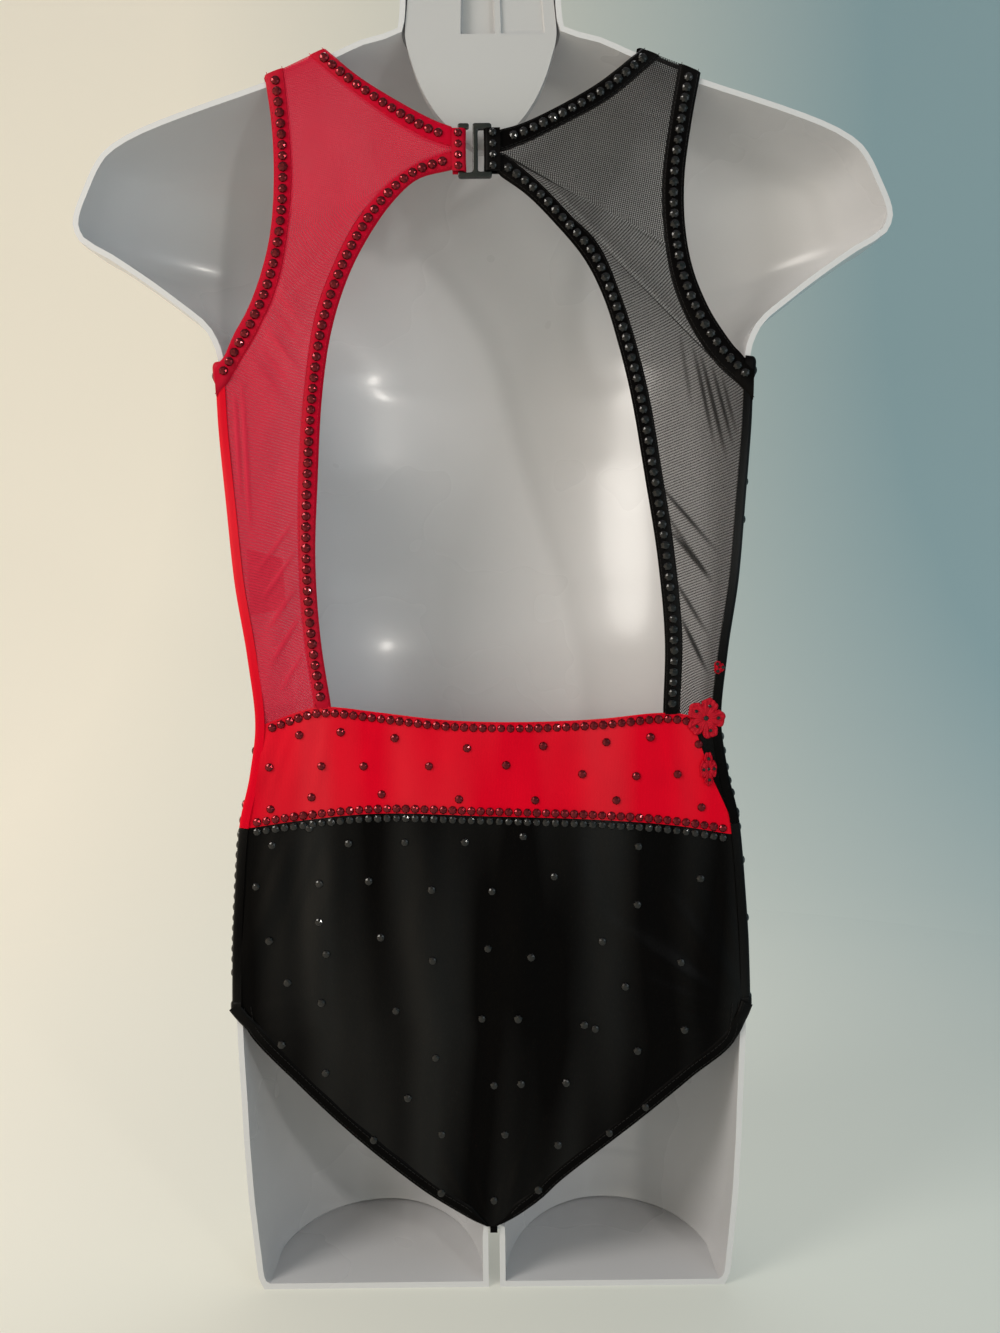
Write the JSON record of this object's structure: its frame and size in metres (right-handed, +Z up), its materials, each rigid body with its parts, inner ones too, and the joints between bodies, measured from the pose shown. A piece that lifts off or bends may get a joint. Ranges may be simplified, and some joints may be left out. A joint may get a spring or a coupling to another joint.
{
  "type": "leotard on a hollow torso form",
  "caption": "Sleeveless leotard in red and black halves with a sheer net back, an open keyhole and a hook at the neck, worn on a hollow-backed torso form.",
  "frame": {"origin": "centre of the bounding box's bottom, in the plane of the flat thigh ends", "axes": "+Z up, +X to the wearer's right, +Y out of the wearer's front; the garment's back faces -Y"},
  "size_m": [0.439, 0.1196, 0.712],
  "materials": {
    "form_plastic": "smooth glossy moulded shell",
    "red_spandex": "smooth stretch knit with a soft sheen",
    "black_spandex": "smooth stretch knit with a soft sheen",
    "red_net": "sheer fine stretch net",
    "black_net": "sheer fine stretch net",
    "red_binding": "folded stretch binding set with small stones",
    "black_binding": "folded stretch binding set with small stones",
    "hook_plastic": "satin moulded plastic",
    "applique": "raised thread flower"
  },
  "bodies": {
    "root": {"torso_form": "form_plastic", "neck_plate": "form_plastic", "front_bodice_left": "red_spandex", "front_bodice_right": "black_spandex", "front_brief": "black_spandex", "gusset": "black_spandex", "back_mesh_left": "red_net", "neck_binding_back_left": "red_binding", "keyhole_binding_left": "red_binding", "armhole_binding_back_left": "red_binding", "neck_binding_front_left": "red_binding", "armhole_binding_front_left": "red_binding", "closure_tab_left": "red_binding", "back_mesh_right": "black_net", "neck_binding_back_right": "black_binding", "keyhole_binding_right": "black_binding", "armhole_binding_back_right": "black_binding", "neck_binding_front_right": "black_binding", "armhole_binding_front_right": "black_binding", "closure_tab_right": "black_binding", "waistband_back": "red_spandex", "seat_back": "black_spandex", "hook_clasp": "hook_plastic", "flower_1": "applique", "flower_2": "applique", "flower_3": "applique"}
  },
  "joints": []
}
